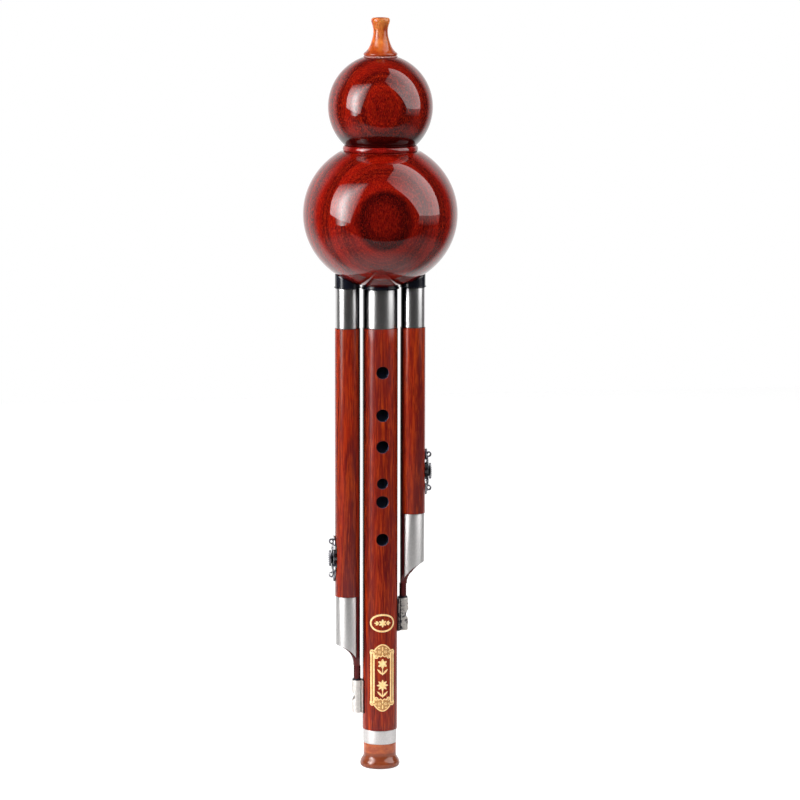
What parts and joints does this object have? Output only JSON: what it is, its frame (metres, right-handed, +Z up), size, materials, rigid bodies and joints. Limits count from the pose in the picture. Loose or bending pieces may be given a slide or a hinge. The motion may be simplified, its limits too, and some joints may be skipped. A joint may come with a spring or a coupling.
{
  "type": "hulusi gourd flute",
  "caption": "Rosewood hulusi: a two-bulb gourd with an amber mouthpiece, a fingered main pipe, and two drone pipes with sliding switches.",
  "frame": {"origin": "centre of the foot's underside, on the main pipe's axis", "axes": "+Z up along the main pipe towards the mouthpiece, -Y is the front with the finger holes, +X towards the right drone pipe"},
  "size_m": [0.0914, 0.0914, 0.45],
  "materials": {
    "gourd_rosewood": "deep red-brown rosewood under thick gloss lacquer",
    "pipe_rosewood": "orange-red rosewood with darker streaks, oiled",
    "nickel_silver": "brushed round",
    "cast_silver": "cast relief, darkened in its hollows",
    "amber": "translucent, polished",
    "dark_amber": "translucent, polished",
    "black_rubber": "glossy black",
    "cork": "ground cork",
    "brass": "polished"
  },
  "bodies": {
    "gourd": {"mouthpiece": "amber", "mouthpiece_washer": "dark_amber", "upper_bulb": "gourd_rosewood", "neck_ring": "gourd_rosewood", "lower_bulb": "gourd_rosewood", "main_collar": "black_rubber", "left_collar": "black_rubber", "right_collar": "black_rubber", "main_ferrule": "nickel_silver", "left_ferrule": "nickel_silver", "right_ferrule": "nickel_silver", "main_reed_tube": "brass", "left_reed_tube": "brass", "right_reed_tube": "brass", "main_reed": "brass", "left_reed": "brass", "right_reed": "brass", "main_reed_plug": "brass", "left_reed_plug": "brass", "right_reed_plug": "brass"},
    "main_pipe": {"main_tube": "pipe_rosewood", "main_tenon_cork": "cork", "foot_band": "nickel_silver", "foot_bell": "dark_amber", "left_tail_clip": "cast_silver", "right_tail_clip": "cast_silver", "left_clip_pad": "black_rubber", "right_clip_pad": "black_rubber", "left_stem_bush": "black_rubber", "right_stem_bush": "black_rubber", "left_clip_screw": "nickel_silver", "right_clip_screw": "nickel_silver"},
    "left_pipe": {"left_tube": "pipe_rosewood", "left_tenon_cork": "cork", "left_tail_sleeve": "nickel_silver", "left_tail_peg": "pipe_rosewood", "left_switch_plate": "cast_silver", "left_switch_pin_top": "nickel_silver", "left_switch_pin_bottom": "nickel_silver"},
    "right_pipe": {"right_tube": "pipe_rosewood", "right_tenon_cork": "cork", "right_tail_sleeve": "nickel_silver", "right_tail_peg": "pipe_rosewood", "right_switch_plate": "cast_silver", "right_switch_pin_top": "nickel_silver", "right_switch_pin_bottom": "nickel_silver"},
    "left_switch": {"left_switch_slider": "cast_silver", "left_slider_pad": "black_rubber"},
    "right_switch": {"right_switch_slider": "cast_silver", "right_slider_pad": "black_rubber"}
  },
  "joints": [
    {"name": "main_pipe_slide", "type": "slide", "parent": "gourd", "child": "main_pipe", "axis": [0, 0, -1], "range_m": [0, 0.014]},
    {"name": "left_pipe_slide", "type": "slide", "parent": "gourd", "child": "left_pipe", "axis": [0, 0, -1], "range_m": [0, 0.0035]},
    {"name": "right_pipe_slide", "type": "slide", "parent": "gourd", "child": "right_pipe", "axis": [0, 0, -1], "range_m": [0, 0.0035]},
    {"name": "left_switch_slide", "type": "slide", "parent": "left_pipe", "child": "left_switch", "axis": [0, 0, 1], "range_m": [-0.0033, 0.0033]},
    {"name": "right_switch_slide", "type": "slide", "parent": "right_pipe", "child": "right_switch", "axis": [0, 0, 1], "range_m": [-0.0033, 0.0033]}
  ]
}
